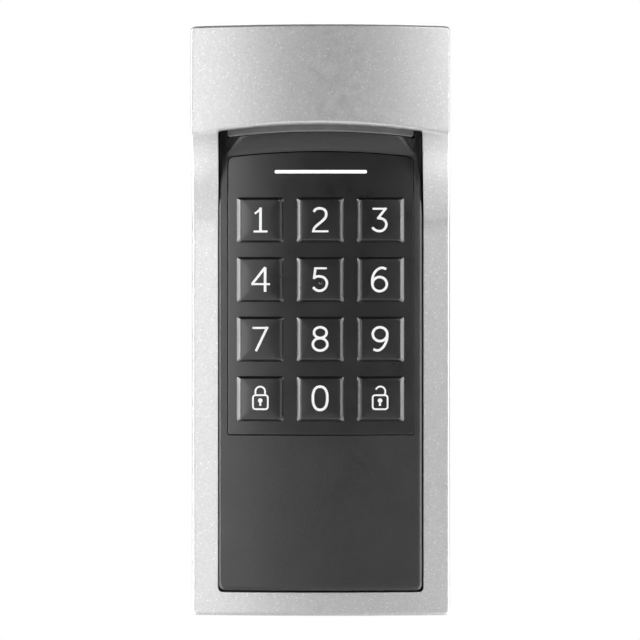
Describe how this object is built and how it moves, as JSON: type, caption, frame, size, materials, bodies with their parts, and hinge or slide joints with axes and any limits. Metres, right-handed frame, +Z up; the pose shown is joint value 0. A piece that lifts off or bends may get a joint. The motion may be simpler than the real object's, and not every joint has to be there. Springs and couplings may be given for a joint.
{
  "type": "keypad access reader",
  "caption": "Upright wall keypad with a silver bezel and rain hood, a bulged black face, raised rubber keys with digits and padlocks, and a white light bar.",
  "frame": {"origin": "centre of the wall plate's back face, on the wall", "axes": "+Y into the wall, so the keys face -Y; +Z up, towards the hood; +X towards the viewer's right when facing the keys"},
  "size_m": [0.059, 0.036, 0.134],
  "materials": {
    "silver_lacquer": "silver metallic lacquer, fine flake",
    "black_plastic": "black, fine spark texture",
    "keypad_rubber": "black, satin, with white legends",
    "smoked_lens": "smoked grey, satin",
    "white_light_guide": "white, lit",
    "grey_plastic": "grey, as moulded",
    "green_board": "green solder resist",
    "bright_steel": "nickel plated",
    "spring_steel": "nickel plated",
    "cell_jacket": "printed jacket, no marks",
    "chip_epoxy": "black epoxy",
    "seal_rubber": "dark, matt",
    "dome_film": "milky film",
    "red_insulation": "red",
    "black_insulation": "black"
  },
  "bodies": {
    "case": {"battery_cell_lower": "cell_jacket", "battery_cell_upper": "cell_jacket", "battery_contact_bridge": "spring_steel", "battery_contact_negative": "spring_steel", "battery_contact_positive": "spring_steel", "battery_lead_negative": "black_insulation", "battery_lead_positive": "red_insulation", "battery_spring_lower": "spring_steel", "battery_spring_upper": "spring_steel", "case_gasket": "seal_rubber", "case_screw_1": "bright_steel", "case_screw_2": "bright_steel", "case_screw_3": "bright_steel", "case_screw_4": "bright_steel", "circuit_board": "green_board", "controller_chip": "chip_epoxy", "dome_sheet": "dome_film", "front_cover": "black_plastic", "hood_bezel": "silver_lacquer", "hood_light_lens": "smoked_lens", "key_light_led_1": "white_light_guide", "key_light_led_2": "white_light_guide", "key_light_led_3": "white_light_guide", "keypad_overlay": "keypad_rubber", "locking_screw": "bright_steel", "radio_module": "bright_steel", "rear_housing": "black_plastic", "sounder": "chip_epoxy", "status_led_1": "white_light_guide", "status_led_2": "white_light_guide", "status_light_guide": "white_light_guide", "tamper_switch": "chip_epoxy", "wall_plate": "black_plastic"},
    "key_1": {"key_1": "keypad_rubber"},
    "key_2": {"key_2": "keypad_rubber"},
    "key_3": {"key_3": "keypad_rubber"},
    "key_4": {"key_4": "keypad_rubber"},
    "key_5": {"key_5": "keypad_rubber"},
    "key_6": {"key_6": "keypad_rubber"},
    "key_7": {"key_7": "keypad_rubber"},
    "key_8": {"key_8": "keypad_rubber"},
    "key_9": {"key_9": "keypad_rubber"},
    "key_lock": {"key_lock": "keypad_rubber"},
    "key_0": {"key_0": "keypad_rubber"},
    "key_unlock": {"key_unlock": "keypad_rubber"},
    "battery_door": {"battery_door": "black_plastic"},
    "tamper_plunger": {"tamper_plunger": "grey_plastic"}
  },
  "joints": [
    {"name": "key_1_press", "type": "slide", "parent": "case", "child": "key_1", "axis": [0, 1, 0], "range_m": [0, 0.0009], "stiffness_N_per_m": 1500},
    {"name": "key_2_press", "type": "slide", "parent": "case", "child": "key_2", "axis": [0, 1, 0], "range_m": [0, 0.0009], "stiffness_N_per_m": 1500},
    {"name": "key_3_press", "type": "slide", "parent": "case", "child": "key_3", "axis": [0, 1, 0], "range_m": [0, 0.0009], "stiffness_N_per_m": 1500},
    {"name": "key_4_press", "type": "slide", "parent": "case", "child": "key_4", "axis": [0, 1, 0], "range_m": [0, 0.0009], "stiffness_N_per_m": 1500},
    {"name": "key_5_press", "type": "slide", "parent": "case", "child": "key_5", "axis": [0, 1, 0], "range_m": [0, 0.0009], "stiffness_N_per_m": 1500},
    {"name": "key_6_press", "type": "slide", "parent": "case", "child": "key_6", "axis": [0, 1, 0], "range_m": [0, 0.0009], "stiffness_N_per_m": 1500},
    {"name": "key_7_press", "type": "slide", "parent": "case", "child": "key_7", "axis": [0, 1, 0], "range_m": [0, 0.0009], "stiffness_N_per_m": 1500},
    {"name": "key_8_press", "type": "slide", "parent": "case", "child": "key_8", "axis": [0, 1, 0], "range_m": [0, 0.0009], "stiffness_N_per_m": 1500},
    {"name": "key_9_press", "type": "slide", "parent": "case", "child": "key_9", "axis": [0, 1, 0], "range_m": [0, 0.0009], "stiffness_N_per_m": 1500},
    {"name": "key_lock_press", "type": "slide", "parent": "case", "child": "key_lock", "axis": [0, 1, 0], "range_m": [0, 0.0009], "stiffness_N_per_m": 1500},
    {"name": "key_0_press", "type": "slide", "parent": "case", "child": "key_0", "axis": [0, 1, 0], "range_m": [0, 0.0009], "stiffness_N_per_m": 1500},
    {"name": "key_unlock_press", "type": "slide", "parent": "case", "child": "key_unlock", "axis": [0, 1, 0], "range_m": [0, 0.0009], "stiffness_N_per_m": 1500},
    {"name": "battery_door_hinge", "type": "hinge", "parent": "case", "child": "battery_door", "pos_m": [0, -0.0037, -0.0334], "axis": [1, 0, 0], "range_deg": [0, 90]},
    {"name": "tamper_plunger_slide", "type": "slide", "parent": "case", "child": "tamper_plunger", "axis": [0, 1, 0], "range_m": [0, 0.0012], "stiffness_N_per_m": 200}
  ]
}
